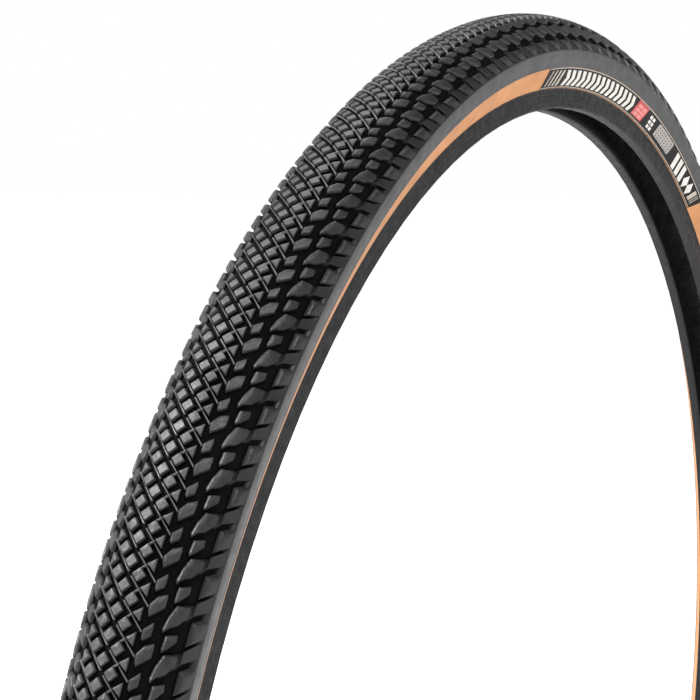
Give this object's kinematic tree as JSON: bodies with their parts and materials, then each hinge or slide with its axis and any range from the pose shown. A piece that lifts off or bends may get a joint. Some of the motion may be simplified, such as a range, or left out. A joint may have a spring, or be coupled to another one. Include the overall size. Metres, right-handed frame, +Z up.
{
  "type": "bicycle tire",
  "caption": "Gravel bicycle tire with a diamond-lattice centre tread, rows of shoulder knobs, a smooth black margin and tan sidewalls, open at its beads for a rim.",
  "frame": {"origin": "wheel centre, on the axle's line, midway between the two beads", "axes": "+Y along the axle towards the left side, +Z up, +X forwards; the label is on the right side, at -Y"},
  "size_m": [0.6998, 0.038, 0.6998],
  "materials": {
    "tread_rubber": "semi-matt moulded rubber",
    "liner_rubber": "smooth butyl rubber",
    "casing_fabric": "rubberised bias fabric",
    "bead_fibre": "twisted aramid",
    "chafer_rubber": "matt rubberised weave",
    "tan_sidewall": "skived tan rubber over fine threads",
    "label_black": "satin transfer film",
    "label_white": "printed ink",
    "label_red": "printed ink",
    "label_grey": "printed ink"
  },
  "bodies": {
    "root": {"inner_liner": "liner_rubber", "casing_ply_inner": "casing_fabric", "casing_ply_outer": "casing_fabric", "puncture_belt": "casing_fabric", "bead_core_left": "bead_fibre", "bead_core_right": "bead_fibre", "bead_filler_left": "liner_rubber", "bead_filler_right": "liner_rubber", "chafer_left": "chafer_rubber", "chafer_right": "chafer_rubber", "sidewall_left": "tan_sidewall", "sidewall_right": "tan_sidewall", "tread_strip": "tread_rubber", "shoulder_left": "tread_rubber", "shoulder_right": "tread_rubber", "edge_rib_left": "tread_rubber", "edge_rib_right": "tread_rubber", "centre_blocks": "tread_rubber", "inner_blocks_left": "tread_rubber", "inner_blocks_right": "tread_rubber", "transition_knobs_left": "tread_rubber", "transition_knobs_right": "tread_rubber", "middle_knobs_left": "tread_rubber", "middle_knobs_right": "tread_rubber", "side_knobs_left": "tread_rubber", "side_knobs_right": "tread_rubber", "label_film": "label_black", "label_border": "label_white", "label_badge": "label_red", "label_panel": "label_grey"}
  },
  "joints": []
}
